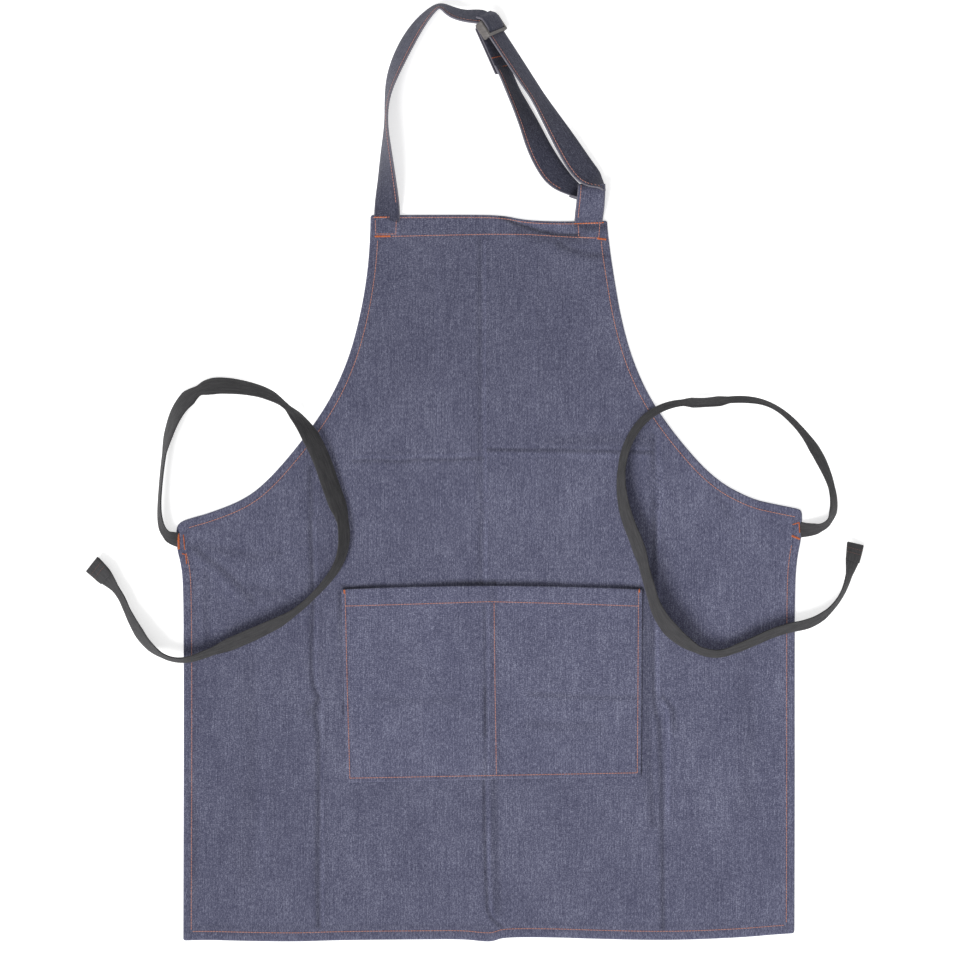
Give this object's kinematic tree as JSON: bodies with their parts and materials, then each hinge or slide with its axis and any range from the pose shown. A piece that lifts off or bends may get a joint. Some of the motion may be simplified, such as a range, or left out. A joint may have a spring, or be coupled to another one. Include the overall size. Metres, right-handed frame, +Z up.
{
  "type": "bib apron",
  "caption": "Denim bib apron laid flat: turned and stitched hems, divided patch pocket, neck strap with a sliding buckle, and webbing waist ties.",
  "frame": {"origin": "middle of the apron's outline without the waist ties, on the surface it lies on", "axes": "+Y from the hem towards the neck strap, +Z up from the surface through the cloth, +X across the apron"},
  "size_m": [0.7768, 0.9324, 0.0311],
  "materials": {
    "denim": "matt twill with pale slubs",
    "webbing": "ribbed charcoal webbing",
    "seam_thread": "spun polyester thread",
    "bartack_thread": "dense zigzag thread",
    "buckle_plastic": "fine matt moulded plastic"
  },
  "bodies": {
    "apron": {"bartack_pocket_left": "bartack_thread", "bartack_pocket_right": "bartack_thread", "bartack_strap": "bartack_thread", "bartack_tab": "bartack_thread", "bartack_tie_left": "bartack_thread", "bartack_tie_right": "bartack_thread", "body_panel": "denim", "neck_strap": "denim", "neck_strap_return": "denim", "pocket_panel": "denim", "strap_tab": "denim", "thread_armhole_left": "seam_thread", "thread_armhole_right": "seam_thread", "thread_bottom_hem": "seam_thread", "thread_neck_strap": "seam_thread", "thread_pocket_bottom": "seam_thread", "thread_pocket_divider": "seam_thread", "thread_pocket_hem": "seam_thread", "thread_pocket_left": "seam_thread", "thread_pocket_right": "seam_thread", "thread_side_left": "seam_thread", "thread_side_right": "seam_thread", "thread_tie_left_end": "seam_thread", "thread_tie_right_end": "seam_thread", "thread_top_hem_lower": "seam_thread", "thread_top_hem_upper": "seam_thread", "tie_left": "webbing", "tie_left_fold": "webbing", "tie_right": "webbing", "tie_right_fold": "webbing"},
    "buckle": {"slider": "buckle_plastic", "strap_end_loop": "denim", "thread_strap_end": "seam_thread"}
  },
  "joints": [
    {"name": "buckle_slide", "type": "slide", "parent": "apron", "child": "buckle", "axis": [0.5488, -0.836, 0], "range_m": [0, 0.06], "deforming": ["neck_strap_return"]}
  ]
}
